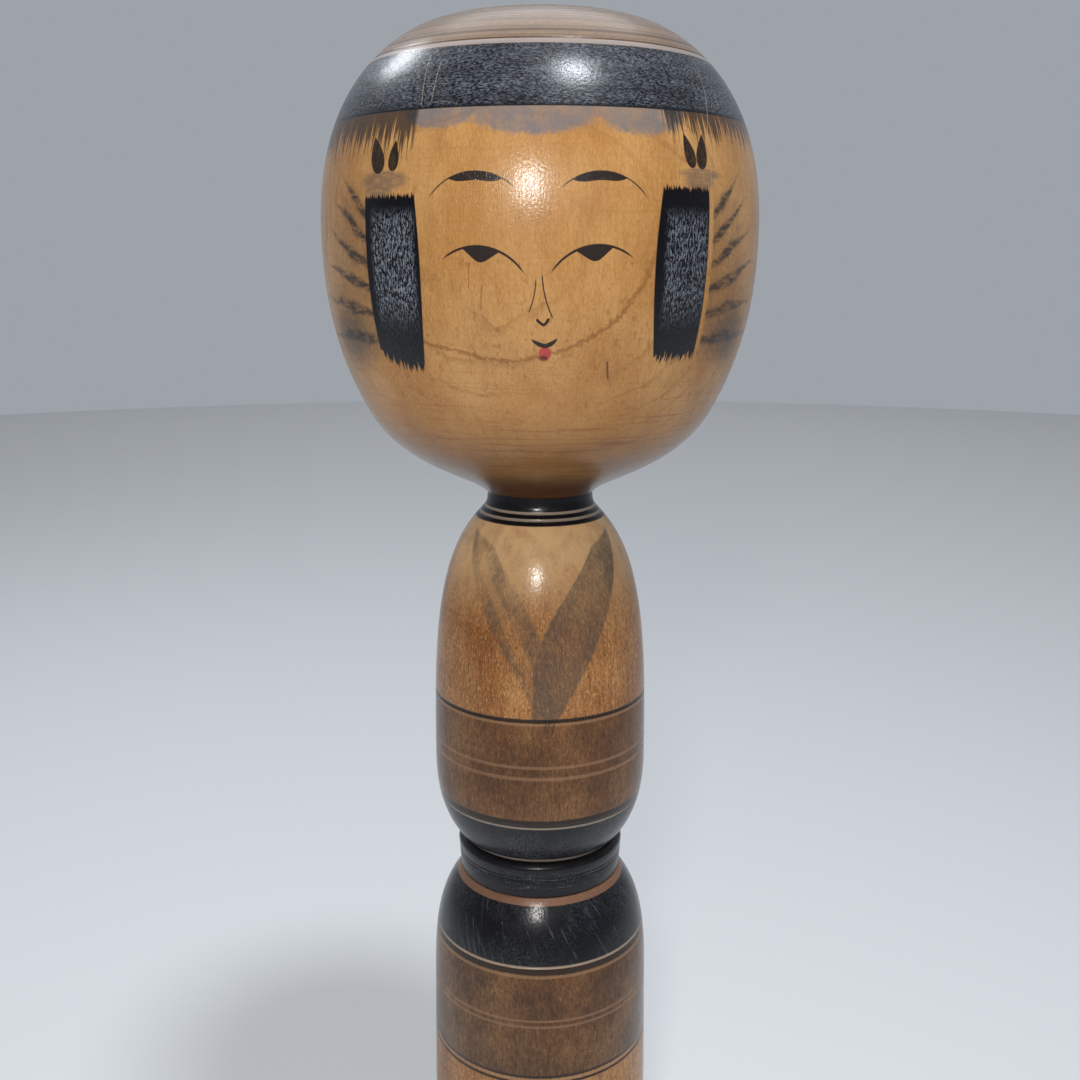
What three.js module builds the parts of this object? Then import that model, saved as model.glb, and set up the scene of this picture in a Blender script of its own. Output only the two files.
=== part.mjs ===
// A turned wooden doll: a big round head that turns on the neck of a waisted body,
// and a ring, loose round the waist, between the upper and the lower body.
// Millimetres, +Z up, origin at the centre of the base. The painted face looks towards -Y.

import * as THREE from "three";

const SEGMENTS = 48; // sides of every turned piece
const CURVE_STEPS = 8; // straight steps in each curved stretch of an outline
const GAP = 0.3; // clearance between two pieces that touch or fit

// Lower body
const BODY_HEIGHT = 178.3; // base to the rim that the ring rests on
const BASE_RADIUS = 39.5;
const BASE_CHAMFER = 1;
const BASE_HOLLOW_RADIUS = 24; // shallow hollow turned in the base
const BASE_HOLLOW_DEPTH = 1.5;
const SHOULDER_RADIUS = 37.4; // where the shoulder's curve meets the side
const SHOULDER_DROP = 40.2; // bare rim's lower edge to that place
const SHOULDER_REACH = 9.8; // how far the curve keeps its first direction
const SHOULDER_ANGLE = -55.5; // that direction, in degrees above level
const SHOULDER_EASE = 25; // how far it runs straight before the side
const RIM_RADIUS = 27.9; // bare rim
const RIM_FLARE = 1; // how much wider the bare rim is at its lower edge
const RIM_HEIGHT = 1.9;

// Waist: the ring, and the spigot inside it that joins the upper body to the lower
const RING_HEIGHT = 11.9;
const RING_RADIUS = 28.3; // fullest, near the top
const RING_WAIST_RADIUS = 27.6; // at its lower edge
const RING_EDGE = 1; // rounding of the ring's edges
const SPIGOT_RADIUS = 20;
const SPIGOT_DEPTH = 28; // how far it goes down into the lower body
const SPIGOT_CHAMFER = 1.5;

// Upper body
const TORSO_HEIGHT = 120.3; // its end above the ring to its neck's seat
const TORSO_RADIUS = 35.7;
const TORSO_FULLEST = 28.2; // height of the fullest place above the lower end
const TORSO_END_RADIUS = 26;
const HIP_EASE = 14.7; // straight run under the fullest place
const HIP_REACH = 6.7; // how far the curve keeps the end's direction
const HIP_ANGLE = 40.9; // direction of the curve at the lower end, in degrees
const CHEST_EASE = 38.6; // straight run over the fullest place
const SHOULDER_POINT_INSET = 12.9; // where the chest's curve meets the neck's, in from TORSO_RADIUS
const SHOULDER_POINT_DROP = 10.2; // the same place, down from the neck's seat
const SHOULDER_POINT_ANGLE = -52.9; // slope there
const SHOULDER_POINT_REACH = 19.8; // straight run down from there
const NECK_RADIUS = 17.2;
const NECK_EASE = 5.3; // straight run under the neck's seat
const NECK_BEND = 7.8; // straight run up from where the two curves meet

// Neck joint: a tenon with a bead that keeps the head on, in a socket with a groove for it
const TENON_RADIUS = 12;
const TENON_HEIGHT = 39; // over the neck's seat
const TENON_CHAMFER = 2;
const BEAD_RISE = 1.6; // how far the bead stands out of the tenon
const BEAD_LENGTH = 9;
const BEAD_HEIGHT = 14; // seat to the bead's lower edge

// Head
const HEAD_HEIGHT = 143.1; // underside to crown
const HEAD_RADIUS = 67.5;
const UNDERSIDE_RADIUS = 17.8; // flat of the underside, round the socket
const CHEEK_HEIGHT = 82.1; // underside to the widest place
const CHEEK_RISE = 23; // upright run over the widest place
const CHEEK_FALL = 20.5; // upright run under it
const BROW_INSET = 17.2; // where the crown's curve meets the side's, in from HEAD_RADIUS
const BROW_DROP = 12.4; // the same place, down from the crown
const BROW_ANGLE = -44.7;
const BROW_RISE = 23.7; // straight run up from there
const BROW_FALL = 14.4; // straight run down from there
const CROWN_FLAT = 14.7; // level run out from the crown's centre
const JAW_INSET = 12.9; // where the cheek's curve meets the underside's, in from HEAD_RADIUS
const JAW_HEIGHT = 26.8; // underside to that place
const JAW_ANGLE = 61.3;
const JAW_RISE = 20.5; // straight run up from there
const JAW_FALL = 20.5; // straight run down from there
const UNDERSIDE_ANGLE = 46.8; // slope of the head just outside the flat
const UNDERSIDE_REACH = 7.8;

// Where each piece stands above the base
const RING_Z = BODY_HEIGHT + GAP;
const TORSO_Z = RING_Z + RING_HEIGHT + GAP;
const HEAD_Z = TORSO_Z + TORSO_HEIGHT + GAP;

const COLORS = {
  paleWood: "#ad8254",
  tannedWood: "#96683f",
  blackPaint: "#1c1c1e",
};

// The place a length away from another, at an angle above level
function away([r, z], degrees, length) {
  const angle = THREE.MathUtils.degToRad(degrees);
  return [r + length * Math.cos(angle), z + length * Math.sin(angle)];
}

// Adds straight sides to an outline of radius and height
function sides(outline, ...places) {
  for (const place of places) outline.lineTo(...place);
}

// A piece turned from its outline, which starts and ends on the axis or closes on itself
function turned(name, outline, color, roughness) {
  const geometry = new THREE.LatheGeometry(outline.getPoints(CURVE_STEPS), SEGMENTS);
  geometry.rotateX(Math.PI / 2);
  const material = new THREE.MeshStandardMaterial({ color, roughness, metalness: 0 });
  const mesh = new THREE.Mesh(geometry, material);
  mesh.name = name;
  return mesh;
}

// Foot, side, shoulder, bare rim and the socket for the waist spigot
function lowerBody() {
  const rimFoot = [RIM_RADIUS + RIM_FLARE, BODY_HEIGHT - RIM_HEIGHT];
  const side = [SHOULDER_RADIUS, rimFoot[1] - SHOULDER_DROP];
  const socketRadius = SPIGOT_RADIUS + GAP;
  const socketFloor = BODY_HEIGHT - SPIGOT_DEPTH - GAP;
  const outline = new THREE.Path().moveTo(0, BASE_HOLLOW_DEPTH);
  sides(
    outline,
    [BASE_HOLLOW_RADIUS, BASE_HOLLOW_DEPTH],
    [BASE_HOLLOW_RADIUS + BASE_HOLLOW_DEPTH, 0],
    [BASE_RADIUS - BASE_CHAMFER, 0],
    [BASE_RADIUS, BASE_CHAMFER],
    side,
  );
  outline.bezierCurveTo(
    ...away(side, 90, SHOULDER_EASE),
    ...away(rimFoot, SHOULDER_ANGLE, SHOULDER_REACH),
    ...rimFoot,
  );
  sides(
    outline,
    [RIM_RADIUS, BODY_HEIGHT],
    [socketRadius, BODY_HEIGHT],
    [socketRadius, socketFloor],
    [0, socketFloor],
  );
  return turned("lower_body", outline, COLORS.tannedWood, 0.45);
}

// The loose ring, a little fuller at the top
function waistRing() {
  const bore = SPIGOT_RADIUS + GAP;
  const outline = new THREE.Path().moveTo(bore, 0);
  sides(
    outline,
    [RING_WAIST_RADIUS - RING_EDGE / 2, 0],
    [RING_WAIST_RADIUS, RING_EDGE / 2],
    [RING_RADIUS, RING_HEIGHT - 2 * RING_EDGE],
  );
  outline.quadraticCurveTo(RING_RADIUS, RING_HEIGHT, RING_RADIUS - 2 * RING_EDGE, RING_HEIGHT);
  sides(outline, [bore, RING_HEIGHT], [bore, 0]);
  return turned("waist_ring", outline, COLORS.blackPaint, 0.35);
}

// Waist spigot, hips, chest, neck and the tenon that holds the head
function torso() {
  const spigotBottom = -(GAP + RING_HEIGHT + GAP + SPIGOT_DEPTH);
  const end = [TORSO_END_RADIUS, 0];
  const fullest = [TORSO_RADIUS, TORSO_FULLEST];
  const shoulder = [TORSO_RADIUS - SHOULDER_POINT_INSET, TORSO_HEIGHT - SHOULDER_POINT_DROP];
  const seat = [NECK_RADIUS, TORSO_HEIGHT];
  const bead = TORSO_HEIGHT + BEAD_HEIGHT;
  const top = TORSO_HEIGHT + TENON_HEIGHT;
  const outline = new THREE.Path().moveTo(0, spigotBottom);
  sides(
    outline,
    [SPIGOT_RADIUS - SPIGOT_CHAMFER, spigotBottom],
    [SPIGOT_RADIUS, spigotBottom + SPIGOT_CHAMFER],
    [SPIGOT_RADIUS, 0],
    end,
  );
  outline.bezierCurveTo(
    ...away(end, HIP_ANGLE, HIP_REACH),
    ...away(fullest, -90, HIP_EASE),
    ...fullest,
  );
  outline.bezierCurveTo(
    ...away(fullest, 90, CHEST_EASE),
    ...away(shoulder, SHOULDER_POINT_ANGLE, SHOULDER_POINT_REACH),
    ...shoulder,
  );
  outline.bezierCurveTo(
    ...away(shoulder, SHOULDER_POINT_ANGLE, -NECK_BEND),
    ...away(seat, -90, NECK_EASE),
    ...seat,
  );
  sides(
    outline,
    [TENON_RADIUS, TORSO_HEIGHT],
    [TENON_RADIUS, bead],
    [TENON_RADIUS + BEAD_RISE, bead + BEAD_RISE],
    [TENON_RADIUS + BEAD_RISE, bead + BEAD_LENGTH - BEAD_RISE],
    [TENON_RADIUS, bead + BEAD_LENGTH],
    [TENON_RADIUS, top - TENON_CHAMFER],
    [TENON_RADIUS - TENON_CHAMFER, top],
    [0, top],
  );
  return turned("torso", outline, COLORS.tannedWood, 0.5);
}

// Socket with the bead's groove, underside, jaw, cheek, brow and crown
function head() {
  const socketRadius = TENON_RADIUS + GAP;
  const socketTop = TENON_HEIGHT; // the tenon ends a gap below it, as the neck's seat does below the head
  const groove = BEAD_HEIGHT - GAP;
  const grooveTop = groove + BEAD_LENGTH;
  const underside = [UNDERSIDE_RADIUS, 0];
  const jaw = [HEAD_RADIUS - JAW_INSET, JAW_HEIGHT];
  const cheek = [HEAD_RADIUS, CHEEK_HEIGHT];
  const brow = [HEAD_RADIUS - BROW_INSET, HEAD_HEIGHT - BROW_DROP];
  const crown = [0, HEAD_HEIGHT];
  const outline = new THREE.Path().moveTo(0, socketTop);
  sides(
    outline,
    [socketRadius, socketTop],
    [socketRadius, grooveTop],
    [socketRadius + BEAD_RISE, grooveTop - BEAD_RISE],
    [socketRadius + BEAD_RISE, groove + BEAD_RISE],
    [socketRadius, groove],
    [socketRadius, 0],
    underside,
  );
  outline.bezierCurveTo(
    ...away(underside, UNDERSIDE_ANGLE, UNDERSIDE_REACH),
    ...away(jaw, JAW_ANGLE, -JAW_FALL),
    ...jaw,
  );
  outline.bezierCurveTo(
    ...away(jaw, JAW_ANGLE, JAW_RISE),
    ...away(cheek, -90, CHEEK_FALL),
    ...cheek,
  );
  outline.bezierCurveTo(
    ...away(cheek, 90, CHEEK_RISE),
    ...away(brow, BROW_ANGLE, BROW_FALL),
    ...brow,
  );
  outline.bezierCurveTo(
    ...away(brow, BROW_ANGLE, -BROW_RISE),
    ...away(crown, 0, CROWN_FLAT),
    ...crown,
  );
  return turned("head", outline, COLORS.paleWood, 0.45);
}

// Stacks the pieces: the ring on the rim, the torso over it, the head on the neck
const doll = new THREE.Group();
const heights = new Map([
  [lowerBody(), 0],
  [waistRing(), RING_Z],
  [torso(), TORSO_Z],
  [head(), HEAD_Z],
]);
for (const [piece, height] of heights) {
  piece.position.z = height;
  doll.add(piece);
}

export default doll;
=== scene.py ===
from math import atan2, cos, hypot, pi, radians, sin

import bmesh
import bpy
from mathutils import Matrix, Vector
from mathutils.geometry import interpolate_bezier


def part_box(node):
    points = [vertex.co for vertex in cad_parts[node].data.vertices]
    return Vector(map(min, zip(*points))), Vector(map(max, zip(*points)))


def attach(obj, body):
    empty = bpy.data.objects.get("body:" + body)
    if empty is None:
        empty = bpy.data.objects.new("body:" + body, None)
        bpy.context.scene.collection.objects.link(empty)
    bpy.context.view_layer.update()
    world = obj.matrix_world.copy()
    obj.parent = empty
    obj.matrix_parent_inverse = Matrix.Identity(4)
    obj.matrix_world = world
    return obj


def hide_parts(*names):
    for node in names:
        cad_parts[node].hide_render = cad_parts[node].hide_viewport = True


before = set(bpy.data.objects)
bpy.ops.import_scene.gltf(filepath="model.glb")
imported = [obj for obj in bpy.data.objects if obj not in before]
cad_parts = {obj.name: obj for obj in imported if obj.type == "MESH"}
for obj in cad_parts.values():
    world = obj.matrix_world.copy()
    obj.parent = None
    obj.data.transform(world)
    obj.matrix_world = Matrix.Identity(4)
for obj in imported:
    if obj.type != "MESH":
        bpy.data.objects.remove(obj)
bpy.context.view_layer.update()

# A doll turned from wood and painted on the lathe and by brush.
# Sizes are in millimetres until a mesh is made.
perMetre = 1000


def boxInMm(node):
    low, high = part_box(node)
    return [v * perMetre for v in low], [v * perMetre for v in high]


# A number that runs through a material, with Python's own operators
class Wire:
    def __init__(self, tree, socket):
        self.tree = tree
        self.socket = socket

    def math(self, operation, *others):
        values = dict(enumerate((self, *others)))
        return addNode(self.tree, "ShaderNodeMath", {"operation": operation}, values)

    def __add__(self, other):
        return self.math("ADD", other)

    __radd__ = __add__

    def __mul__(self, other):
        return self.math("MULTIPLY", other)

    __rmul__ = __mul__

    def __sub__(self, other):
        return self.math("SUBTRACT", other)

    def __rsub__(self, other):
        return addNode(self.tree, "ShaderNodeMath", {"operation": "SUBTRACT"}, {0: other, 1: self})

    def __truediv__(self, other):
        return self.math("DIVIDE", other)

    def __pow__(self, other):
        return self.math("POWER", other)

    def __abs__(self):
        return self.math("ABSOLUTE")

    def atLeast(self, other):
        return self.math("MAXIMUM", other)

    def rise(self, low, high):  # 0 below low, 1 above high, smooth between
        sockets = {"Value": self, "From Min": low, "From Max": high}
        return addNode(self.tree, "ShaderNodeMapRange", {"interpolation_type": "SMOOTHSTEP"}, sockets)

    def fall(self, low, high):  # 1 below low, 0 above high
        return 1 - self.rise(low, high)

    def between(self, low, high, soft=0.1):
        return self.rise(low - soft, low + soft) * self.fall(high - soft, high + soft)

    def line(self, middle, width, soft=0.1):
        return self.between(middle - width / 2, middle + width / 2, soft)


def addNode(tree, kind, settings=None, sockets=None, output=0):
    node = tree.nodes.new(kind)
    for name, value in (settings or {}).items():
        setattr(node, name, value)
    for name, value in (sockets or {}).items():
        if isinstance(value, Wire):
            tree.links.new(value.socket, node.inputs[name])
        else:
            node.inputs[name].default_value = value
    return Wire(tree, node.outputs[output])


def vector(x, y, z=0.0):
    tree = next(w.tree for w in (x, y, z) if isinstance(w, Wire))
    return addNode(tree, "ShaderNodeCombineXYZ", None, {0: x, 1: y, 2: z})


def lengthOf(x, y):
    return addNode(x.tree, "ShaderNodeVectorMath", {"operation": "LENGTH"}, {0: vector(x, y)}, 1)


def noise(place, detail=2.0, roughness=0.5):
    sockets = {"Vector": place, "Scale": 1.0, "Detail": detail, "Roughness": roughness}
    return addNode(place.tree, "ShaderNodeTexNoise", {"noise_dimensions": "3D"}, sockets)


def rgb(color):
    return color if isinstance(color, Wire) else (*color, 1)


def largest(masks):
    top = None
    for mask in masks:
        top = mask if top is None else top.atLeast(mask)
    return top


# Thin wax: a sharp gloss with a soft sheen round it, and a fine ripple in millimetres
waxLook = {
    "gloss": 0.18, "glossSpread": 0.05, "ripple": 0.052, "ior": 1.37, "coat": 0.12, "coatRoughness": 0.45,
}


# The skin of a turned piece, measured in millimetres
class Skin:
    def __init__(self, name, reach):
        self.material = bpy.data.materials.new(name)
        self.material.use_nodes = True
        self.tree = self.material.node_tree
        self.shader = self.tree.nodes["Principled BSDF"]
        self.inMetres = addNode(self.tree, "ShaderNodeTexCoord", output=3)
        self.place = addNode(self.tree, "ShaderNodeVectorMath", {"operation": "SCALE"},
                             {0: self.inMetres, "Scale": perMetre})
        self.x, self.y, self.z = (self.part(i) for i in range(3))
        self.radius = lengthOf(self.x, self.y)
        # Distance round the piece from the middle of its front
        self.across = self.x.math("ARCTAN2", self.y * -1) * reach

    def part(self, index):
        return addNode(self.tree, "ShaderNodeSeparateXYZ", None, {0: self.place}, index)

    # Noise whose sideways and upright are waves to a millimetre
    def grain(self, sideways, upright, shift=0.0, detail=2.0, roughness=0.5):
        scale = [share * perMetre for share in (sideways, sideways, upright)]
        place = addNode(self.tree, "ShaderNodeMapping", None,
                        {"Vector": self.inMetres, "Location": (shift, shift, shift), "Scale": scale})
        return noise(place, detail, roughness)

    def mix(self, amount, first, second):
        sockets = {0: amount, 6: rgb(first), 7: rgb(second)}
        return addNode(self.tree, "ShaderNodeMix", {"data_type": "RGBA"}, sockets, 2)

    def finish(self, color, roughness, height):
        bump = addNode(self.tree, "ShaderNodeBump", None,
                       {"Strength": 1.0, "Distance": 1 / perMetre, "Height": height})
        for name, wire in (("Base Color", color), ("Roughness", roughness), ("Normal", bump)):
            self.tree.links.new(wire.socket, self.shader.inputs[name])
        self.shader.inputs["IOR"].default_value = waxLook["ior"]
        self.shader.inputs["Coat Weight"].default_value = waxLook["coat"]
        self.shader.inputs["Coat Roughness"].default_value = waxLook["coatRoughness"]
        return self.material


# Wood, as it is before it is painted
woodLook = {
    "head": {
        "pale": (0.56, 0.305, 0.110), "warm": (0.45, 0.215, 0.062), "ring": (0.19, 0.066, 0.016),
        "pith": (5.0, 30.0), "ringSpacing": 3.15, "ringStart": 93.5, "fleck": 0.5, "seed": 3.0,
    },
    "body": {
        "pale": (0.50, 0.245, 0.085), "warm": (0.31, 0.110, 0.024), "ring": (0.10, 0.030, 0.007),
        "pith": (30.0, 26.0), "ringSpacing": 4.4, "ringStart": 60.0, "fleck": 1.25, "seed": 17.0,
    },
}
paleFleck = (0.78, 0.50, 0.24)
fibreDepth = 0.02


def woodGrain(skin, look):
    seed = look["seed"]
    cloud = skin.grain(0.035, 0.02, seed, detail=4, roughness=0.6)
    color = skin.mix(cloud.rise(0.34, 0.66), look["pale"], look["warm"])
    # Growth rings stand round a pith behind the axis, and show as nested ovals where the surface bulges
    wobble = skin.grain(0.05, 0.035, seed + 5, detail=3) * 4.5 + skin.grain(0.45, 0.4, seed + 6) * 0.7
    fromPith = lengthOf(skin.x - look["pith"][0], skin.y - look["pith"][1]) + wobble - 2.6
    turn = ((fromPith - look["ringStart"]) / look["ringSpacing"] + 100).math("FRACT")
    fade = skin.grain(0.045, 0.045, seed + 9, detail=1).rise(0.42, 0.62)
    late = turn.rise(0.78, 0.98) * turn.fall(0.985, 1.0)
    color = skin.mix(late * fade * 0.30, color, look["ring"])
    figure = skin.grain(0.12, 0.02, seed + 20, detail=3).rise(0.45, 0.75)
    color = skin.mix(figure * 0.22, color, look["ring"])
    # Fibres and pores run along the axis, so they show as short upright flecks
    fibre = skin.grain(1.3, 0.09, seed + 2, detail=3, roughness=0.6)
    pores = skin.grain(2.9, 0.75, seed + 7, roughness=0.75).rise(0.52, 0.60)
    light = skin.grain(2.5, 0.60, seed + 12, roughness=0.75).rise(0.54, 0.64)
    color = skin.mix(fibre.rise(0.42, 0.70) * 0.34 * look["fleck"], color, look["ring"])
    color = skin.mix(pores * 0.50 * look["fleck"], color, look["ring"])
    color = skin.mix(light * 0.30 * look["fleck"], color, paleFleck)
    return color, fibre * fibreDepth - pores * fibreDepth * look["fleck"]


# Level marks left by the turning tool, dark with old wax
def latheStreaks(skin, color, tint, amount, seed):
    marks = skin.grain(0.03, 1.1, seed, detail=4, roughness=0.7)
    return skin.mix(marks.rise(0.50, 0.72) * amount, color, tint)


# The grey-blue of the flecks is partly bare wear and partly painted sheen
inkBlack = (0.004, 0.004, 0.006)
wearAndSheenGrey = (0.21, 0.235, 0.28)
wearAndSheenAbove = 0.53  # the share of the noise above which the ink shows flecks of wear and painted sheen


# Black ink with fine grey-blue flecks, partly worn through and partly painted sheen of the glossy black
def inked(skin, color, mask, wornAndSheen, sideways, upright, seed, soft=0.04):
    flecks = skin.grain(sideways, upright, seed, detail=3, roughness=0.75)
    flecks = flecks.rise(wearAndSheenAbove - soft, wearAndSheenAbove + soft) * wornAndSheen
    return skin.mix(mask, color, skin.mix(flecks, inkBlack, wearAndSheenGrey)), flecks * mask


def peel(skin):  # fine ripple of the wax
    return skin.grain(1.3, 1.3, 3.3, detail=2, roughness=0.65)


def waxGloss(ripple):
    return ripple.rise(0.3, 0.7) * waxLook["glossSpread"] + waxLook["gloss"]


# Brush strokes take places as (across, up) in millimetres on the skin
strokeLook = {"taper": 0.12, "cut": 0.02, "pupilHalf": 0.19, "pupilPower": 1.1}


# Follows an arc from start to end whose middle stands rise off its chord, to the left of it.
# It swells by outer and inner round the share centre of its length, within half each way.
def stroke(skin, start, end, rise, thin=0.2, outer=0.0, inner=0.0, centre=0.5, half=0.5, blunt=2,
           pupil=0.0, pupilCentre=0.5, soft=0.13):
    run, climb = end[0] - start[0], end[1] - start[1]
    chord = hypot(run, climb)
    along = (run / chord, climb / chord)
    side = 1 if rise > 0 else -1
    out = (-along[1] * side, along[0] * side)
    radius = (chord * chord / 4 + rise * rise) / (2 * abs(rise))
    hub = [(start[i] + end[i]) / 2 + out[i] * (abs(rise) - radius) for i in (0, 1)]
    halfTurn = atan2(chord / 2, radius - abs(rise))
    across, up = skin.across - hub[0], skin.z - hub[1]
    outward = across * out[0] + up * out[1]
    onward = across * along[0] + up * along[1]
    share = onward.math("ARCTAN2", outward) * (0.5 / halfTurn) + 0.5
    off = lengthOf(across, up) - radius
    taper, cut = strokeLook["taper"], strokeLook["cut"]
    tapered = share.rise(0.0, taper) * share.fall(1 - taper, 1.0) * thin
    above, under = tapered, tapered
    if outer or inner:
        belly = (1 - (abs(share - centre) * (1 / half)) ** blunt).atLeast(0)
        above, under = belly * outer + tapered, belly * inner + tapered
    if pupil:
        bell = 1 - (abs(share - pupilCentre) * (1 / strokeLook["pupilHalf"])) ** 2
        under = under + bell.atLeast(0) ** strokeLook["pupilPower"] * pupil
    outside = (above - off).rise(-soft, soft)
    inside = (under + off).rise(-soft, soft)
    return outside * inside * share.rise(0.0, cut) * share.fall(1 - cut, 1.0)


def petal(skin, foot, tip, width, soft=0.15):  # blunt at the foot, pointed at the tip
    run, climb = tip[0] - foot[0], tip[1] - foot[1]
    length = hypot(run, climb)
    across, up = skin.across - foot[0], skin.z - foot[1]
    along = (across * run + up * climb) * (2 / length ** 2) - 1
    aside = (across * climb - up * run) * (1 / length)
    room = (1 - along) * (along + 1).atLeast(0) ** 0.5 * (width / 2.2)
    return (room - abs(aside)).rise(-soft, soft)


def scratch(skin, start, end, halfWidth, soft=0.12):  # a straight hairline
    run, climb = end[0] - start[0], end[1] - start[1]
    length = hypot(run, climb)
    across, up = skin.across - start[0], skin.z - start[1]
    share = (across * run + up * climb) * (1 / length ** 2)
    off = abs(across * (climb / length) - up * (run / length))
    return off.fall(halfWidth - soft, halfWidth + soft) * share.between(0, 1, 0.04)


def spot(skin, centre, halfWidth, halfHeight, soft=0.3):
    across = (skin.across - centre[0]) * (1 / halfWidth)
    up = (skin.z - centre[1]) * (1 / halfHeight)
    return (1 - lengthOf(across, up)).rise(-soft, soft)


# Outlines are lists of (radius, height)
def away(place, degrees, length):
    return (place[0] + length * cos(radians(degrees)), place[1] + length * sin(radians(degrees)))


def curve(start, startHandle, endHandle, end, count):
    flat = [Vector((r, z, 0)) for r, z in (start, startHandle, endHandle, end)]
    return [(p.x, p.y) for p in interpolate_bezier(*flat, count)]


def joined(*stretches):
    places = []
    for place in (p for stretch in stretches for p in stretch):
        if not places or hypot(place[0] - places[-1][0], place[1] - places[-1][1]) > 1e-4:
            places.append(place)
    return places


def radiusAt(side, z):
    for (r0, z0), (r1, z1) in zip(side, side[1:]):
        if min(z0, z1) <= z <= max(z0, z1) and z0 != z1:
            return r0 + (r1 - r0) * (z - z0) / (z1 - z0)
    return side[-1][0]


# Places across a groove and how deep it is there, both as shares
grooveShape = [(-1.0, 0), (-0.6, 0.35), (-0.3, 0.85), (0.0, 1.0), (0.3, 0.85), (0.6, 0.35), (1.0, 0)]
turnSteps = 256
sharpEdge = 38  # degrees
mergeWithin = 1e-6  # metres


def grooved(side, lines, width, depth):  # cuts rounded grooves into a side that climbs all the way
    half = width / 2
    for z in lines:
        cut = [(radiusAt(side, z + at * half) - deep * depth, z + at * half) for at, deep in grooveShape]
        side = [p for p in side if p[1] < z - half] + cut + [p for p in side if p[1] > z + half]
    return side


def turned(name, node, body, outline, material):
    work = bmesh.new()
    corners = [work.verts.new((r / perMetre, 0, z / perMetre)) for r, z in outline]
    for first, second in zip(corners, corners[1:]):
        work.edges.new((first, second))
    if outline[0][0] > 0:  # a ring closes on itself
        work.edges.new((corners[-1], corners[0]))
    bmesh.ops.spin(work, geom=work.verts[:] + work.edges[:], axis=(0, 0, 1), cent=(0, 0, 0),
                   angle=2 * pi, steps=turnSteps, use_merge=True)
    bmesh.ops.remove_doubles(work, verts=work.verts, dist=mergeWithin)
    bmesh.ops.recalc_face_normals(work, faces=work.faces)
    mesh = bpy.data.meshes.new(name)
    work.to_mesh(mesh)
    work.free()
    mesh.shade_smooth()
    mesh.set_sharp_from_angle(angle=radians(sharpEdge))
    mesh.materials.append(material)
    piece = bpy.data.objects.new(name, mesh)
    bpy.context.scene.collection.objects.link(piece)
    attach(piece, body)
    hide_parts(node)
    print(name, "turned:", len(mesh.polygons), "faces")
    return piece


# Head: the outline is four curves from the neck to the crown
headShape = {
    "undersideRadius": 17.8, "undersideAngle": 46.8, "undersideReach": 7.8,
    "jawInset": 12.9, "jawHeight": 26.8, "jawAngle": 61.3, "jawRise": 20.5, "jawFall": 20.5,
    "cheekHeight": 82.1, "cheekRise": 23.0, "cheekFall": 20.5,
    "browInset": 17.2, "browDrop": 12.4, "browAngle": -44.7, "browRise": 23.7, "browFall": 14.4,
    "crownHeight": 143.1, "crownFlat": 14.7,
    "socketRadius": 12.3, "socketDepth": 39.0, "socketChamfer": 0.6,
    "grooveHeight": 13.7, "grooveLength": 9.0, "grooveDepth": 1.6,
}

brow = {"thin": 0.17, "inner": 2.1, "half": 0.27, "blunt": 4}
eye = {"rise": 5.6, "thin": 0.20, "outer": 0.08, "inner": 0.22, "pupil": 3.7}
mouthLine = {"rise": -0.4, "thin": 0.15, "outer": 0.6, "inner": 0.35, "half": 0.6}

# Left and right are as seen from in front
headPaint = {
    "capLine": (441.5, 0.45), "bandHigh": 440.0, "bandLow": 423.1,
    "face": [
        {"start": (4.7, 401.6), "end": (29.6, 399.7), "rise": 6.1, "centre": 0.44, **brow},
        {"start": (-30.8, 399.7), "end": (-6.0, 402.0), "rise": 5.9, "centre": 0.56, **brow},
        {"start": (2.6, 380.6), "end": (25.9, 384.4), "pupilCentre": 0.54, **eye},
        {"start": (-27.1, 384.1), "end": (-3.8, 380.3), "pupilCentre": 0.46, **eye},
        {"start": (-3.2, 370.4), "end": (-1.1, 379.8), "rise": -0.5, "thin": 0.16},
        {"start": (0.6, 381.2), "end": (3.8, 368.8), "rise": -0.8, "thin": 0.18},
        {"start": (-1.0, 369.2), "end": (1.3, 367.4), "rise": -0.2, "thin": 0.40},
        {"start": (0.9, 367.4), "end": (2.4, 369.4), "rise": -0.2, "thin": 0.40},
        {"start": (-2.6, 363.9), "end": (2.2, 362.0), "centre": 0.66, **mouthLine},
        {"start": (0.9, 362.0), "end": (5.0, 364.1), "centre": 0.34, **mouthLine},
    ],
    "lip": ((1.4, 360.0), 1.8, 1.8, 0.15), "lipShade": ((1.0, 358.6), 1.3, 0.7),
    "petals": [((-47.6, 407.2), (-51.4, 416.8), 5.2), ((-42.9, 407.5), (-42.6, 415.6), 3.8),
               ((45.2, 408.4), (42.8, 417.4), 4.0), ((48.2, 408.2), (50.2, 417.6), 4.4)],
    "petalWash": [((-46.2, 405.2), 8.6, 2.5), ((-48.0, 403.2), 5.0, 2.6), ((48.2, 406.9), 8.0, 1.5),
                  ((47.4, 405.0), 5.6, 2.4)],
    "scallops": [((-29.0, 423.1), 13.5, 5.6), ((-1.5, 423.1), 21.0, 7.8), ((29.5, 423.1), 15.5, 7.6)],
    "leftLock": {
        "side": -1, "inner": 33.7, "outer": 53.4, "bow": 0.0036, "low": 355.0, "high": 401.2, "cut": 0.035,
    },
    "rightLock": {
        "side": 1, "inner": 32.2, "outer": 51.0, "bow": 0.0048, "low": 357.6, "high": 403.2, "cut": 0.006,
    },
    "paleScratches": [((62.0, 438.7), (52.2, 416.0)), ((52.2, 416.0), (51.9, 384.0)),
                      ((-38.5, 438.0), (-35.5, 424.0)), ((-33.0, 436.0), (-32.4, 425.0))],
    "brownScratches": [((-19.0, 384.0), (-19.4, 377.0)), ((-15.6, 378.0), (-16.3, 371.5))],
    "dent": ((19.8, 357.6), (20.8, 352.6)),
}

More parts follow.
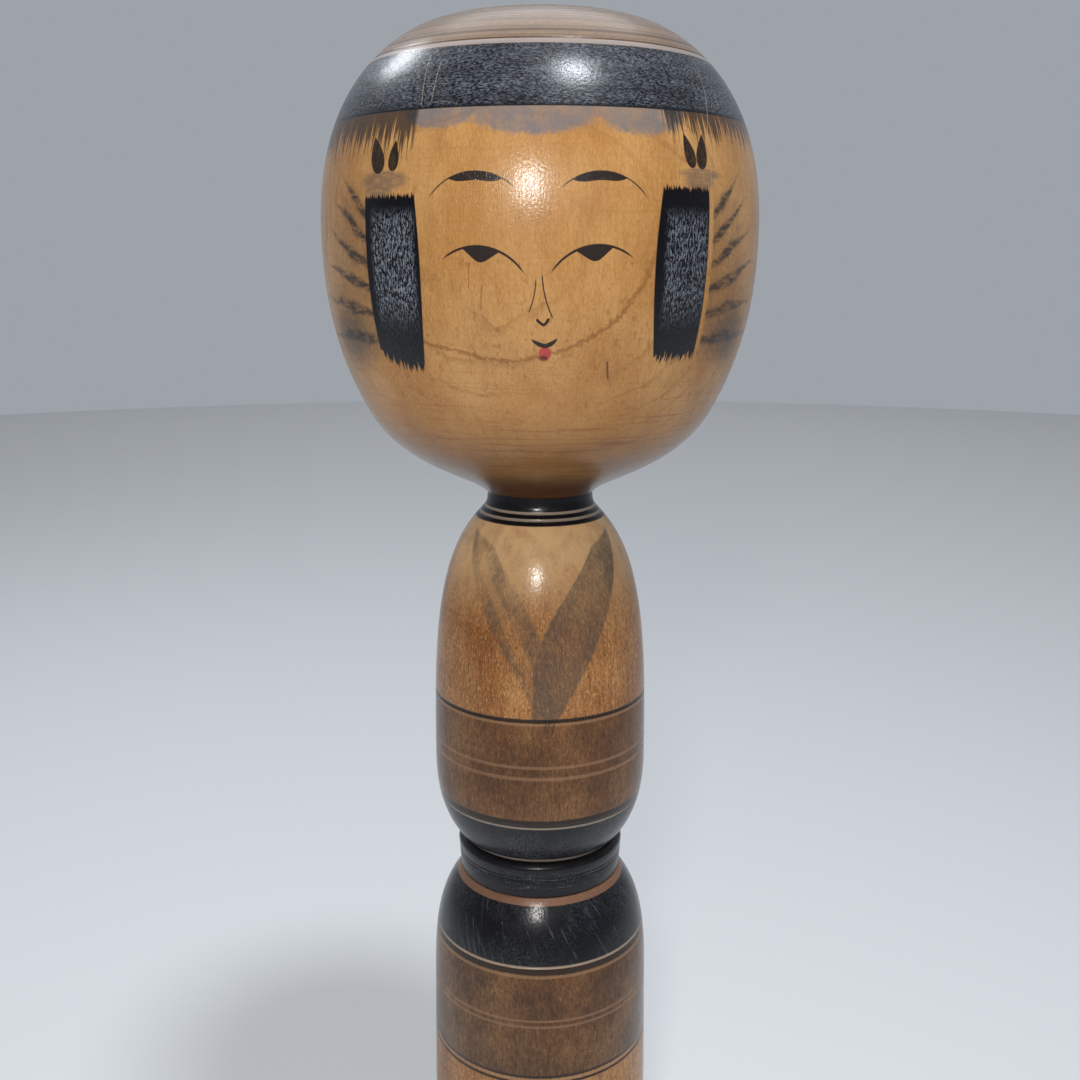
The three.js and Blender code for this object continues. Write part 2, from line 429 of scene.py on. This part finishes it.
hairLook = {
    "lockBend": 382.0, "lockCorner": 42.0, "lockEdge": 0.15, "bottomRag": 12.0, "topRag": 7.0,
    "fringeFrom": 36.3, "fringeReach": 4.5, "fringeSpread": 9.0, "fringeLongest": 13.0,
    "fanFrom": 52.4, "fanTop": 396.0, "fanDrop": 0.80, "fanGap": 6.6, "fanSpread": 0.165, "fanLast": 5,
    "fanReach": 11.0, "fanGrowth": 3.4, "fanHalfWidth": 1.9, "fanThinning": 2.2,
    "smudge": (69.0, 363.0), "smudgeSize": (15.0, 10.0),
}

# The underside tint is painted shade under the head
headTints = {
    "chinStreak": (0.19, 0.066, 0.014), "chin": (0.27, 0.13, 0.040), "underside": (0.07, 0.022, 0.004),
    "stain": (0.27, 0.105, 0.03), "crown": (0.16, 0.135, 0.122), "crownRing": (0.055, 0.038, 0.028),
    "foreheadWash": (0.150, 0.152, 0.168), "petalWash": (0.17, 0.115, 0.08),
    "hairHaze": (0.075, 0.055, 0.042), "hairStroke": (0.025, 0.021, 0.021),
    "fringe": (0.018, 0.017, 0.019), "petal": (0.011, 0.008, 0.008),
    "capLine": (0.03, 0.018, 0.014), "capStrip": (0.27, 0.27, 0.29),
    "lip": (0.43, 0.045, 0.055), "lipShade": (0.06, 0.008, 0.012), "brushLine": (0.012, 0.011, 0.013),
    "paleScratch": (0.42, 0.34, 0.27), "brownScratch": (0.22, 0.07, 0.02), "dent": (0.10, 0.035, 0.012),
}


def sideLock(skin, strands, side, inner, outer, bow, low, high, cut):  # ragged where the brush was lifted
    h = hairLook
    out = skin.across * side
    bend = skin.z - h["lockBend"]
    nearEdge = inner + bend * bend * bow
    soft = h["lockEdge"]
    sideways = (out - nearEdge).rise(-soft, soft) * out.fall(outer - soft, outer + soft)
    corner = (out - h["lockCorner"]).atLeast(0)
    foot = low + corner * corner * cut
    bottom = (skin.z - foot - (strands - 0.5) * h["bottomRag"]).rise(-0.3, 0.3)
    top = (high - skin.z - (strands - 0.5) * h["topRag"]).rise(-0.3, 0.3)
    return sideways * bottom * top


def fringe(skin, low):  # brush hairs that end at different lengths below the band
    h = hairLook
    fromFront = abs(skin.across).rise(h["fringeFrom"] - 0.9, h["fringeFrom"] + 0.9)
    dense = skin.across.fall(-5, 5)
    reach = noise(vector(skin.across * 0.18, 0, 21), detail=2) * h["fringeSpread"] + h["fringeReach"]
    depth = (low + 0.4 - skin.z) / reach
    strand = noise(vector(skin.across * 1.5, skin.z * 0.03, 5), detail=3, roughness=0.75)
    mask = (strand - 0.33 + dense * 0.09 - depth.atLeast(0) * 0.27).rise(0.0, 0.05)
    longest = low - h["fringeLongest"]
    return mask * fromFront * skin.z.fall(low, low + 0.3) * skin.z.rise(longest - 1, longest + 1)


# Strokes swept back from behind each side lock, one under the other and longer towards the last
def fan(skin):
    h = hairLook
    out = abs(skin.across) - h["fanFrom"]
    spread = out * h["fanSpread"] + h["fanGap"]
    waver = skin.grain(0.10, 0.10, 91.0) * 0.5 - 0.25
    turn = (out * h["fanDrop"] + h["fanTop"] - skin.z) / spread + waver
    nearest = (turn + 0.5).math("FLOOR")
    share = out / (nearest * h["fanGrowth"] + h["fanReach"])
    off = abs(turn - nearest) * spread
    inside = nearest.between(-0.5, h["fanLast"] + 0.5, 0.1) * out.rise(0, 0.8)
    width = h["fanHalfWidth"] - abs(share - 0.4) * h["fanThinning"]
    line = (width - off).rise(-0.8, 0.9) * inside
    haze = (1.0 - share).rise(-0.15, 0.35) * turn.between(-0.3, h["fanLast"] + 0.8, 0.5) * out.rise(0, 1)
    return line, haze


def headFinish():
    skin = Skin("painted_head_wood", boxInMm("head")[1][0])
    paint, tint, look = headPaint, headTints, woodLook["head"]
    color, height = woodGrain(skin, look)
    # One ring is darker than the rest and crosses the face under the mouth
    crackle = skin.grain(0.8, 0.8, 8.0, detail=3) * 0.7 + skin.grain(0.07, 0.07, 14.0, detail=1) - 0.85
    fromPith = lengthOf(skin.x - look["pith"][0], skin.y - look["pith"][1])
    ring = abs(fromPith + crackle - look["ringStart"])
    lowFace = skin.z.fall(372, 400)
    color = skin.mix(ring.fall(0.03, 0.24) * (lowFace * 0.45 + 0.15), color, look["ring"])
    specks = skin.grain(0.5, 0.4, 23.0, detail=3).rise(0.60, 0.70)
    color = skin.mix(specks * lowFace * 0.35, color, look["ring"])
    # Browner towards the bottom, with level lathe streaks; nearly black under the head, which is painted
    # shade where the underside faces down over the neck
    chin = skin.z.fall(322, 362)
    color = latheStreaks(skin, color, tint["chinStreak"], chin * 0.78 + 0.14, 4.0)
    color = skin.mix(chin * 0.25, color, tint["chin"])
    color = skin.mix(skin.z.fall(312, 347) * 0.94, color, tint["underside"])
    stain = skin.grain(0.11, 0.05, 61.0, detail=4, roughness=0.65).rise(0.55, 0.75)
    color = skin.mix(stain * 0.35, color, tint["stain"])
    strands = noise(vector(skin.across * 1.25, skin.z * 0.02, 7), detail=3, roughness=0.75)

    # Thin grey wash: crown, forehead scallops and under the petals
    washGrain = skin.grain(0.8, 0.8, 41, detail=4, roughness=0.7).rise(0.3, 0.7)
    capLine = paint["capLine"][0]
    crown = skin.z.rise(capLine, capLine + 0.2)
    crownRings = noise(vector(skin.radius * 0.9, 0, skin.z * 0.2), detail=4, roughness=0.75)
    color = skin.mix(crown * (0.62 + washGrain * 0.2), color, tint["crown"])
    color = skin.mix(crown * crownRings.rise(0.45, 0.58) * 0.66, color, tint["crownRing"])
    ragged = (washGrain * 0.6 - 0.3) * 0.2
    scallops = largest((1 - lengthOf((skin.across - c[0]) * (1 / w), (skin.z - c[1]) * (1 / h))
                        + ragged).rise(-0.04, 0.22) for c, w, h in paint["scallops"])
    scallops = scallops * skin.z.fall(paint["bandLow"], paint["bandLow"] + 0.3)
    cloudy = skin.grain(0.22, 0.22, 44.0, detail=3).rise(0.3, 0.7)
    color = skin.mix(scallops * (0.48 + washGrain * 0.22 + cloudy * 0.25), color, tint["foreheadWash"])
    petalWash = largest(spot(skin, *wash, soft=0.25) for wash in paint["petalWash"])
    smear = noise(vector(skin.across * 0.3, 4, skin.z * 1.4), detail=3).rise(0.3, 0.6)
    color = skin.mix(petalWash * (0.42 + smear * 0.35), color, tint["petalWash"])

    # Hair that fans back from behind the side locks
    lines, haze = fan(skin)
    smudgeAcross, smudgeHigh = hairLook["smudge"]
    smudgeWide, smudgeTall = hairLook["smudgeSize"]
    fromSmudge = (abs(skin.across) - smudgeAcross) * (1 / smudgeWide)
    smudge = 1 - lengthOf(fromSmudge, (skin.z - smudgeHigh) * (1 / smudgeTall))
    smudge = smudge.rise(-0.2, 0.7)
    dashes = skin.grain(0.30, 0.95, 2.0, detail=3, roughness=0.6).rise(0.34, 0.60)
    color = skin.mix(haze * (0.20 + washGrain * 0.28) + smudge * 0.42, color, tint["hairHaze"])
    color = skin.mix(lines * (0.30 + dashes * 0.60), color, tint["hairStroke"])

    # Black hair: the turned band, its brushed fringe and the two side locks
    bandLow, bandHigh = paint["bandLow"], paint["bandHigh"]
    band = skin.z.between(bandLow, bandHigh, 0.14)
    # The band's grey-blue flecks are partly wear and partly painted sheen
    bandWearAndSheen = skin.grain(0.05, 0.45, 2.0, detail=3).rise(0.25, 0.70)
    bandWearAndSheen = (bandWearAndSheen * 0.5 + 0.35) * skin.z.rise(bandLow, bandLow + 1.4)
    color, bandFlecks = inked(skin, color, band, bandWearAndSheen * 0.8, 1.0, 2.8, 35.0, 0.11)
    color = skin.mix(fringe(skin, bandLow) * 0.86, color, tint["fringe"])
    locks = largest(sideLock(skin, strands, **paint[name]) for name in ("leftLock", "rightLock"))
    # The locks' grey-blue flecks are partly wear and partly painted sheen
    lockWearAndSheen = abs(skin.across).between(35.6, 50.6, 1.2) * skin.z.fall(393, 399)
    lockWearAndSheen = lockWearAndSheen * (skin.z.rise(364, 376) * 0.95 + 0.05)
    lockWearAndSheen = lockWearAndSheen * (1 - skin.across.rise(0, 10) * 0.3)
    color, lockFlecks = inked(skin, color, locks, lockWearAndSheen, 2.3, 0.75, 52.0)

    # Fine brush lines, lips and petals
    fine = largest(stroke(skin, **line) for line in paint["face"])
    petals = largest(petal(skin, *place) for place in paint["petals"])
    color = skin.mix(petals * (0.90 + washGrain * 0.1), color, tint["petal"])
    color = skin.mix(skin.z.line(*paint["capLine"]) * 0.85, color, tint["capLine"])
    color = skin.mix(skin.z.between(bandHigh, capLine - 0.25) * 0.75, color, tint["capStrip"])
    color = skin.mix(spot(skin, *paint["lip"]) * 0.9, color, tint["lip"])
    color = skin.mix(spot(skin, *paint["lipShade"]) * 0.75, color, tint["lipShade"])
    color = skin.mix(fine * 0.97, color, tint["brushLine"])

    # Old scratches: pale ones through the hair, brown ones under an eye, and a dent in the chin
    pale = largest(scratch(skin, *place, 0.13) for place in paint["paleScratches"])
    color = skin.mix(pale * 0.5, color, tint["paleScratch"])
    brown = largest(scratch(skin, *place, 0.16) for place in paint["brownScratches"])
    color = skin.mix(brown * 0.6, color, tint["brownScratch"])
    color = skin.mix(scratch(skin, *paint["dent"], 0.3) * 0.85, color, tint["dent"])

    ripple = peel(skin)
    roughness = waxGloss(ripple) + (bandFlecks + lockFlecks) * 0.08
    return skin.finish(color, roughness, height + ripple * waxLook["ripple"])


def headOutline():
    low, high = boxInMm("head")
    s = headShape
    underside = (s["undersideRadius"], low[2])
    jaw = (high[0] - s["jawInset"], low[2] + s["jawHeight"])
    cheek = (high[0], low[2] + s["cheekHeight"])
    crown = (0, low[2] + s["crownHeight"])
    temple = (high[0] - s["browInset"], crown[1] - s["browDrop"])
    side = joined(
        curve(underside, away(underside, s["undersideAngle"], s["undersideReach"]),
              away(jaw, s["jawAngle"], -s["jawFall"]), jaw, 40),
        curve(jaw, away(jaw, s["jawAngle"], s["jawRise"]), away(cheek, -90, s["cheekFall"]), cheek, 36),
        curve(cheek, away(cheek, 90, s["cheekRise"]),
              away(temple, s["browAngle"], s["browFall"]), temple, 36),
        curve(temple, away(temple, s["browAngle"], -s["browRise"]),
              away(crown, 0, s["crownFlat"]), crown, 50),
    )
    side = grooved(side, [headPaint["capLine"][0]], 0.6, 0.14)
    bore, mouth, deep = s["socketRadius"], s["socketChamfer"], s["grooveDepth"]
    roof, groove = low[2] + s["socketDepth"], low[2] + s["grooveHeight"]
    grooveTop = groove + s["grooveLength"]
    socket = [(0, roof), (bore, roof), (bore, grooveTop), (bore + deep, grooveTop - deep),
              (bore + deep, groove + deep), (bore, groove), (bore, low[2] + mouth), (bore + mouth, low[2])]
    return joined(socket, side)


turned("head_wood", "head", "head", headOutline(), headFinish())

# Torso: a neck with the head's tenon above, a spigot for the lower body below
torsoShape = {
    "endRadius": 26.0, "hipReach": 6.7, "hipAngle": 40.9, "hipEase": 14.7,
    "fullest": 28.2, "chestEase": 38.6,
    "shoulderInset": 12.9, "shoulderDrop": 10.2,
    "shoulderAngle": -52.9, "shoulderReach": 19.8,
    "neckRadius": 17.2, "neckEase": 5.3, "neckBend": 7.8, "gap": 0.3,
    "spigotRadius": 20.0, "tenonRadius": 12.0, "tenonHeight": 39.0, "chamfer": 1.5,
    "beadRise": 1.6, "beadLow": 14.0, "beadLength": 9.0,
}

# Rings painted on the lathe: each is a height and a width
torsoPaint = {
    "neckBlack": 303.0, "neckLines": [(306.5, 0.75), (304.6, 0.75)],
    "sash": (243.8, 1.25), "sashLight": (242.6, 0.9), "washTop": 243.2, "washLow": 208.0,
    "washLines": [(228.2, 1.0), (224.4, 1.2)],
    "hipLine": (208.9, 1.7), "hipLight": (206.8, 0.75), "hipBlack": 208.0, "endLight": (191.6, 1.8),
    "leftCollar": {
        "side": -1, "foot": 245.0, "out": (0.4, 0.55, 0.0023), "inFrom": 12.0, "inBend": 0.0151,
        "soft": 1.2, "gap": 0.6,
    },
    "rightCollar": {
        "side": 1, "foot": 239.3, "out": (2.7, 0.62, 0.0), "inFrom": 16.5, "inBend": 0.0161,
        "soft": 0.7, "gap": 0.0,
    },
    "collarTop": 300.4,
    "flicks": [((1.9, 243.0), (1.3, 239.6)), ((3.0, 243.2), (2.2, 239.9)), ((4.6, 243.0), (3.7, 239.2))],
}

# The tint paler near the neck is partly painted light on the top of the torso
bodyTints = {
    "streak": (0.13, 0.05, 0.02), "paleAndLitNeck": (0.72, 0.46, 0.23), "collar": (0.070, 0.056, 0.048),
    "torsoWash": (0.048, 0.022, 0.009), "lowerWash": (0.042, 0.018, 0.006), "washLine": (0.36, 0.20, 0.11),
    "edgeLight": (0.34, 0.19, 0.10), "darkRing": (0.013, 0.008, 0.007), "bareRing": (0.34, 0.27, 0.21),
    "rim": (0.18, 0.098, 0.066), "figure": (0.085, 0.085, 0.098),
}


# A broad brushed band that narrows to its foot. Its outer edge is the polynomial out of the height over
# the foot, its inner edge bends away over inFrom, and gap is how far the paint is worn along its middle
def collar(skin, side, foot, out, inFrom, inBend, soft, gap):
    across, up = skin.across * side, skin.z - foot
    outerEdge = up * (up * out[2] + out[1]) + out[0]
    past = (up - inFrom).atLeast(0)
    innerEdge = past * past * inBend - 2.5
    wide = (outerEdge - across).rise(-soft, soft) * (across - innerEdge).rise(-soft, soft)
    fromMiddle = abs(across - (outerEdge * 0.58 + innerEdge * 0.42))
    wide = wide * (1 - fromMiddle.fall(0.6, 3.2) * gap)
    slanted = skin.z + (outerEdge - across) * 0.3
    top, sash = torsoPaint["collarTop"], torsoPaint["washTop"]
    return wide * skin.z.rise(sash - 0.7, sash + 0.3) * slanted.fall(top - 0.5, top + 1)


# Thin wash with bare lines in it and black bands, put on while the piece turned
def lathePaint(skin, color, paint, wash, blacks, tint, depth, wearAndSheen):
    washGrain = skin.grain(0.9, 0.35, 51, detail=4, roughness=0.7).rise(0.25, 0.75)
    patches = skin.grain(0.06, 0.06, 57, detail=4, roughness=0.6).rise(0.35, 0.65)
    color = skin.mix(wash * (washGrain * 0.32 + patches * 0.22 + depth), color, tint)
    for ring in paint["washLines"]:
        color = skin.mix(skin.z.line(*ring, 0.2) * 0.45, color, bodyTints["washLine"])
    # Grey-blue flecks in the black bands: partly wear, partly painted sheen
    wornAndSheen = patches * skin.z.fall(295, 302) * wearAndSheen
    return inked(skin, color, blacks, wornAndSheen, 2.0, 1.2, 65.0)


def rings(skin, color, lines, tint, amount):
    for ring in lines:
        color = skin.mix(skin.z.line(*ring) * amount, color, tint)
    return color


def torsoFinish():
    skin = Skin("painted_body_wood", boxInMm("torso")[1][0])
    paint, tint = torsoPaint, bodyTints
    color, height = woodGrain(skin, woodLook["body"])
    color = latheStreaks(skin, color, tint["streak"], 0.25, 9.0)
    # The wood is paler near the neck: partly wood the head kept from the light, partly painted light on
    # the top of the torso
    paleAndLitNeck = skin.grain(0.2, 0.12, 33.0, detail=3).rise(0.3, 0.6) * 0.4 + 0.6
    color = skin.mix(skin.z.rise(270, 302) * paleAndLitNeck * 0.9, color, tint["paleAndLitNeck"])
    # Two brushed bands cross like the edges of a robe
    brushed = skin.grain(1.1, 0.5, 71, detail=4, roughness=0.7).rise(0.3, 0.7)
    patchy = skin.grain(0.10, 0.07, 77, detail=3).rise(0.35, 0.65)
    right = collar(skin, **paint["rightCollar"]) * (brushed * 0.30 + patchy * 0.22 + 0.38)
    left = collar(skin, **paint["leftCollar"]) * (brushed * 0.32 + patchy * 0.46 + 0.04)
    color = skin.mix(right.atLeast(left), color, tint["collar"])
    wash = skin.z.between(paint["washLow"], paint["washTop"], 0.2)
    neck = skin.z.rise(paint["neckBlack"] - 0.1, paint["neckBlack"] + 0.1)
    hip = skin.z.fall(paint["hipBlack"] - 0.1, paint["hipBlack"] + 0.1)
    color, flecks = lathePaint(skin, color, paint, wash, neck.atLeast(hip), tint["torsoWash"], 0.41, 0.24)
    color = rings(skin, color, [paint["sashLight"]], tint["edgeLight"], 0.55)
    color = rings(skin, color, [paint["sash"], paint["hipLine"]], tint["darkRing"], 0.95)
    bare = [*paint["neckLines"], paint["hipLight"], paint["endLight"]]
    color = rings(skin, color, bare, tint["bareRing"], 0.9)
    flicks = largest(scratch(skin, *place, 0.3, 0.25) for place in paint["flicks"])
    color = skin.mix(flicks * 0.55, color, tint["darkRing"])
    ripple = peel(skin)
    return skin.finish(color, waxGloss(ripple) - 0.01, height + ripple * waxLook["ripple"] + flecks * 0.02)


def torsoOutline():
    low, high = boxInMm("torso")
    s = torsoShape
    bottom = boxInMm("waist_ring")[1][2] + s["gap"]
    end = (s["endRadius"], bottom)
    fullest = (high[0], bottom + s["fullest"])
    seat = (s["neckRadius"], high[2] - s["tenonHeight"])
    shoulder = (high[0] - s["shoulderInset"], seat[1] - s["shoulderDrop"])
    side = joined(
        curve(end, away(end, s["hipAngle"], s["hipReach"]), away(fullest, -90, s["hipEase"]), fullest, 40),
        curve(fullest, away(fullest, 90, s["chestEase"]),
              away(shoulder, s["shoulderAngle"], s["shoulderReach"]), shoulder, 56),
        curve(shoulder, away(shoulder, s["shoulderAngle"], -s["neckBend"]),
              away(seat, -90, s["neckEase"]), seat, 20),
    )
    paint = torsoPaint
    side = grooved(side, [z for z, width in (*paint["neckLines"], paint["hipLight"])], 0.8, 0.20)
    side = grooved(side, [z for z, width in (paint["sash"], *paint["washLines"])], 1.0, 0.10)
    c, tenon, rise = s["chamfer"], s["tenonRadius"], s["beadRise"]
    beadLow = seat[1] + s["beadLow"]
    beadTop = beadLow + s["beadLength"]
    spigot = [(0, low[2]), (s["spigotRadius"] - c, low[2]),
              (s["spigotRadius"], low[2] + c), (s["spigotRadius"], bottom)]
    bead = [(tenon, beadLow), (tenon + rise, beadLow + rise),
            (tenon + rise, beadTop - rise), (tenon, beadTop)]
    top = [(tenon, seat[1]), *bead, (tenon, high[2] - c), (tenon - c, high[2]), (0, high[2])]
    return joined(spigot, side, top)


turned("torso_wood", "torso", "body", torsoOutline(), torsoFinish())

# Waist ring, with two lines scored at shares of its height
ringShape = {"waistRadius": 27.6, "edge": 1.0, "bore": 20.3, "scored": [0.50, 0.60]}
ringLook = {"wornAndSheen": (181.5, 187.5), "gloss": 0.22, "glossSpread": 0.06, "ripple": 0.02}


def ringOutline():
    low, high = boxInMm("waist_ring")
    s = ringShape
    edge, waist = s["edge"], s["waistRadius"]
    shoulder = (high[0], high[2] - 2 * edge)
    foot = [(waist - edge / 2, low[2]), (waist - edge / 8, low[2] + edge / 8), (waist, low[2] + edge / 2)]
    top = (high[0] - 2 * edge, high[2])
    side = joined(
        foot, [shoulder],
        curve(shoulder, (high[0], high[2] - edge), (high[0] - edge, high[2]), top, 12),
    )
    scored = [low[2] + share * (high[2] - low[2]) for share in s["scored"]]
    side = grooved(side, scored, 0.5, 0.12)
    return joined([(s["bore"], low[2])], side, [(s["bore"], high[2])])


def ringFinish():
    skin = Skin("black_ring", boxInMm("waist_ring")[1][0])
    color, height = woodGrain(skin, woodLook["body"])
    outside = skin.radius.rise(22.0, 23.0)
    # Grey-blue flecks round the middle: partly wear, partly painted sheen
    marks = noise(vector(skin.across * 0.12, 0, skin.z * 1.6), detail=3, roughness=0.75).rise(0.5, 0.65)
    middle = skin.z.between(*ringLook["wornAndSheen"], 1.5)
    color, flecks = inked(skin, color, outside, marks * middle * 0.55, 1.6, 1.0, 13.0)
    ripple = peel(skin)
    roughness = ripple * ringLook["glossSpread"] + ringLook["gloss"]
    return skin.finish(color, roughness, height + ripple * ringLook["ripple"] + flecks * 0.02)


turned("waist_ring_wood", "waist_ring", "ring", ringOutline(), ringFinish())

# Lower body: a straight side from the foot, a black shoulder and a bare rim
lowerShape = {
    "shoulderRadius": 37.4, "shoulderDrop": 40.2,
    "shoulderReach": 9.8, "shoulderAngle": -55.5, "shoulderEase": 25.0,
    "rimRadius": 27.9, "rimFlare": 1.0, "rimHeight": 1.9, "rimChamfer": 0.3,
    "socketRadius": 20.3, "socketDepth": 28.3, "hollowRadius": 24.0, "hollowDepth": 1.5, "chamfer": 1.0,
}

lowerPaint = {
    "shoulderBlack": (158.4, 176.3), "shoulderLight": (158.0, 0.8), "shoulderLine": (156.6, 1.9),
    "edgeLight": (154.8, 1.0), "washTop": 156.0, "washLow": 118.6,
    "washLines": [(139.0, 0.9), (136.8, 0.9)], "rim": 176.3, "slant": (0.88, 0.47),
    "hemLines": [(118.2, 1.0), (115.9, 1.0)], "hemLight": (117.0, 0.9), "foot": (20.0, 32.0),
    "footLines": [(32.4, 1.0), (19.6, 1.0)],
}


def lowerFinish():
    skin = Skin("lacquered_body_wood", boxInMm("lower_body")[1][0])
    paint, tint = lowerPaint, bodyTints
    color, height = woodGrain(skin, woodLook["body"])
    color = latheStreaks(skin, color, tint["streak"], 0.25, 21.0)
    # The bare rim is pinker
    color = skin.mix(skin.z.rise(paint["rim"] - 0.3, paint["rim"] + 0.3) * 0.78, color, tint["rim"])
    black = skin.z.between(*paint["shoulderBlack"], 0.12)
    wash = skin.z.between(paint["washLow"], paint["washTop"], 0.2)
    wash = wash.atLeast(skin.z.between(*paint["foot"], 0.2))
    color, flecks = lathePaint(skin, color, paint, wash, black, tint["lowerWash"], 0.45, 0.11)
    color = rings(skin, color, [paint["edgeLight"], paint["hemLight"]], tint["edgeLight"], 0.6)
    dark = [paint["shoulderLine"], *paint["hemLines"], *paint["footLines"]]
    color = rings(skin, color, dark, tint["darkRing"], 0.95)
    color = rings(skin, color, [paint["shoulderLight"]], tint["bareRing"], 0.9)
    # The grain shows through the thin black on the shoulder as slanting figure
    run, climb = paint["slant"]
    aside, along = skin.across * run + skin.z * climb, skin.across * climb - skin.z * run
    figure = noise(vector(aside * 0.75, 0, along * 0.06), detail=4, roughness=0.7).rise(0.555, 0.64)
    figure = figure * skin.grain(0.08, 0.08, 5.0, detail=1).rise(0.38, 0.56)
    color = skin.mix(black * figure * 0.75, color, tint["figure"])
    ripple = peel(skin)
    roughness = waxGloss(ripple) - black * 0.02
    return skin.finish(color, roughness, height + ripple * waxLook["ripple"] + flecks * 0.02)


def lowerOutline():
    low, high = boxInMm("lower_body")
    s = lowerShape
    rimFoot = (s["rimRadius"] + s["rimFlare"], high[2] - s["rimHeight"])
    shoulder = (s["shoulderRadius"], rimFoot[1] - s["shoulderDrop"])
    c, rc = s["chamfer"], s["rimChamfer"]
    hollow, deep = s["hollowRadius"], s["hollowDepth"]
    base = [(0, deep), (hollow, deep), (hollow + deep, 0)]
    foot = [(high[0] - c, 0), (high[0] - c * 0.3, c * 0.3), (high[0], c)]
    side = joined(
        [(high[0], c), shoulder],
        curve(shoulder, away(shoulder, 90, s["shoulderEase"]),
              away(rimFoot, s["shoulderAngle"], s["shoulderReach"]), rimFoot, 56),
        [(s["rimRadius"], high[2] - rc)],
    )
    paint = lowerPaint
    side = grooved(side, [paint["shoulderLight"][0]], 0.8, 0.20)
    shallow = (*paint["washLines"], paint["edgeLight"], paint["hemLight"], *paint["footLines"])
    side = grooved(side, [z for z, width in shallow], 1.0, 0.10)
    floor = high[2] - s["socketDepth"]
    socket = s["socketRadius"]
    top = [(s["rimRadius"] - rc, high[2]), (socket, high[2]), (socket, floor), (0, floor)]
    return joined(base, foot, side, top)


turned("lower_body_wood", "lower_body", "body", lowerOutline(), lowerFinish())

# Stage, lamps and camera, in metres
stageLook = {
    "floorRadius": 3.0, "floor": (0.76, 0.77, 0.78), "floorRoughness": 0.9,
    "sky": (0.68, 0.73, 0.80), "skyBehind": 0.50, "skyInFront": 0.17,
}

warmWhite, coolWhite, paleWhite = (1, 0.97, 0.93), (0.9, 0.95, 1), (0.95, 0.97, 1)

lamps = {
    "front": {
        "place": (-0.045, -0.54, 0.53), "aim": (0, 0, 0.33),
        "size": 0.065, "power": 1.85, "color": warmWhite,
    },
    "ceiling": {
        "place": (0.285, -0.40, 1.56), "aim": (0, 0, 0.40),
        "size": 0.24, "power": 11.0, "color": coolWhite,
    },
    "window": {
        "place": (-0.70, 0.58, 1.23), "aim": (0, 0, 0.42),
        "size": 0.28, "power": 3.6, "color": coolWhite,
    },
    "softbox": {
        "place": (0, 2.0, 3.0), "aim": (0, 2.0, 0),
        "size": 2.5, "power": 25.0, "color": paleWhite,
    },
}


def makeFloor():
    work = bmesh.new()
    bmesh.ops.create_circle(work, cap_ends=True, radius=stageLook["floorRadius"], segments=96)
    mesh = bpy.data.meshes.new("floor")
    work.to_mesh(mesh)
    work.free()
    material = bpy.data.materials.new("pale_floor")
    material.use_nodes = True
    shader = material.node_tree.nodes["Principled BSDF"]
    shader.inputs["Base Color"].default_value = rgb(stageLook["floor"])
    shader.inputs["Roughness"].default_value = stageLook["floorRoughness"]
    mesh.materials.append(material)
    floor = bpy.data.objects.new("floor", mesh)
    bpy.context.scene.collection.objects.link(floor)


def makeSky():
    world = bpy.data.worlds.new("studio")
    world.use_nodes = True
    background = world.node_tree.nodes["Background"]
    background.inputs["Color"].default_value = rgb(stageLook["sky"])
    # Brighter behind the doll than in front of it, so black paint stays black
    direction = addNode(world.node_tree, "ShaderNodeTexCoord")
    depth = addNode(world.node_tree, "ShaderNodeSeparateXYZ", None, {0: direction}, 1)
    share = depth.rise(-0.3, 0.8)
    strength = share * (stageLook["skyBehind"] - stageLook["skyInFront"]) + stageLook["skyInFront"]
    world.node_tree.links.new(strength.socket, background.inputs["Strength"])
    bpy.context.scene.world = world


def makeLamps():
    for name, lamp in lamps.items():
        light = bpy.data.lights.new(name, "AREA")
        light.shape = "DISK"
        light.size = lamp["size"]
        light.energy = lamp["power"]
        light.color = lamp["color"]
        holder = bpy.data.objects.new(name, light)
        holder.location = lamp["place"]
        out = Vector(lamp["place"]) - Vector(lamp["aim"])
        holder.rotation_euler = out.to_track_quat("Z", "Y").to_euler()
        bpy.context.scene.collection.objects.link(holder)


cameraSetup = {"distance": 0.390, "height": 0.3845, "pitch": 13.08, "lens": 40.24}


def makeCamera():
    camera = bpy.data.cameras.new("camera")
    camera.lens = cameraSetup["lens"]
    camera.sensor_width = 36
    camera.clip_start = 0.01
    holder = bpy.data.objects.new("camera", camera)
    holder.location = (0, -cameraSetup["distance"], cameraSetup["height"])
    holder.rotation_euler = (radians(90 - cameraSetup["pitch"]), 0, 0)
    bpy.context.scene.collection.objects.link(holder)
    bpy.context.scene.camera = holder


makeFloor()
makeSky()
makeLamps()
makeCamera()
bpy.context.scene.view_settings.view_transform = "Standard"
print("stage, lamps and camera placed")
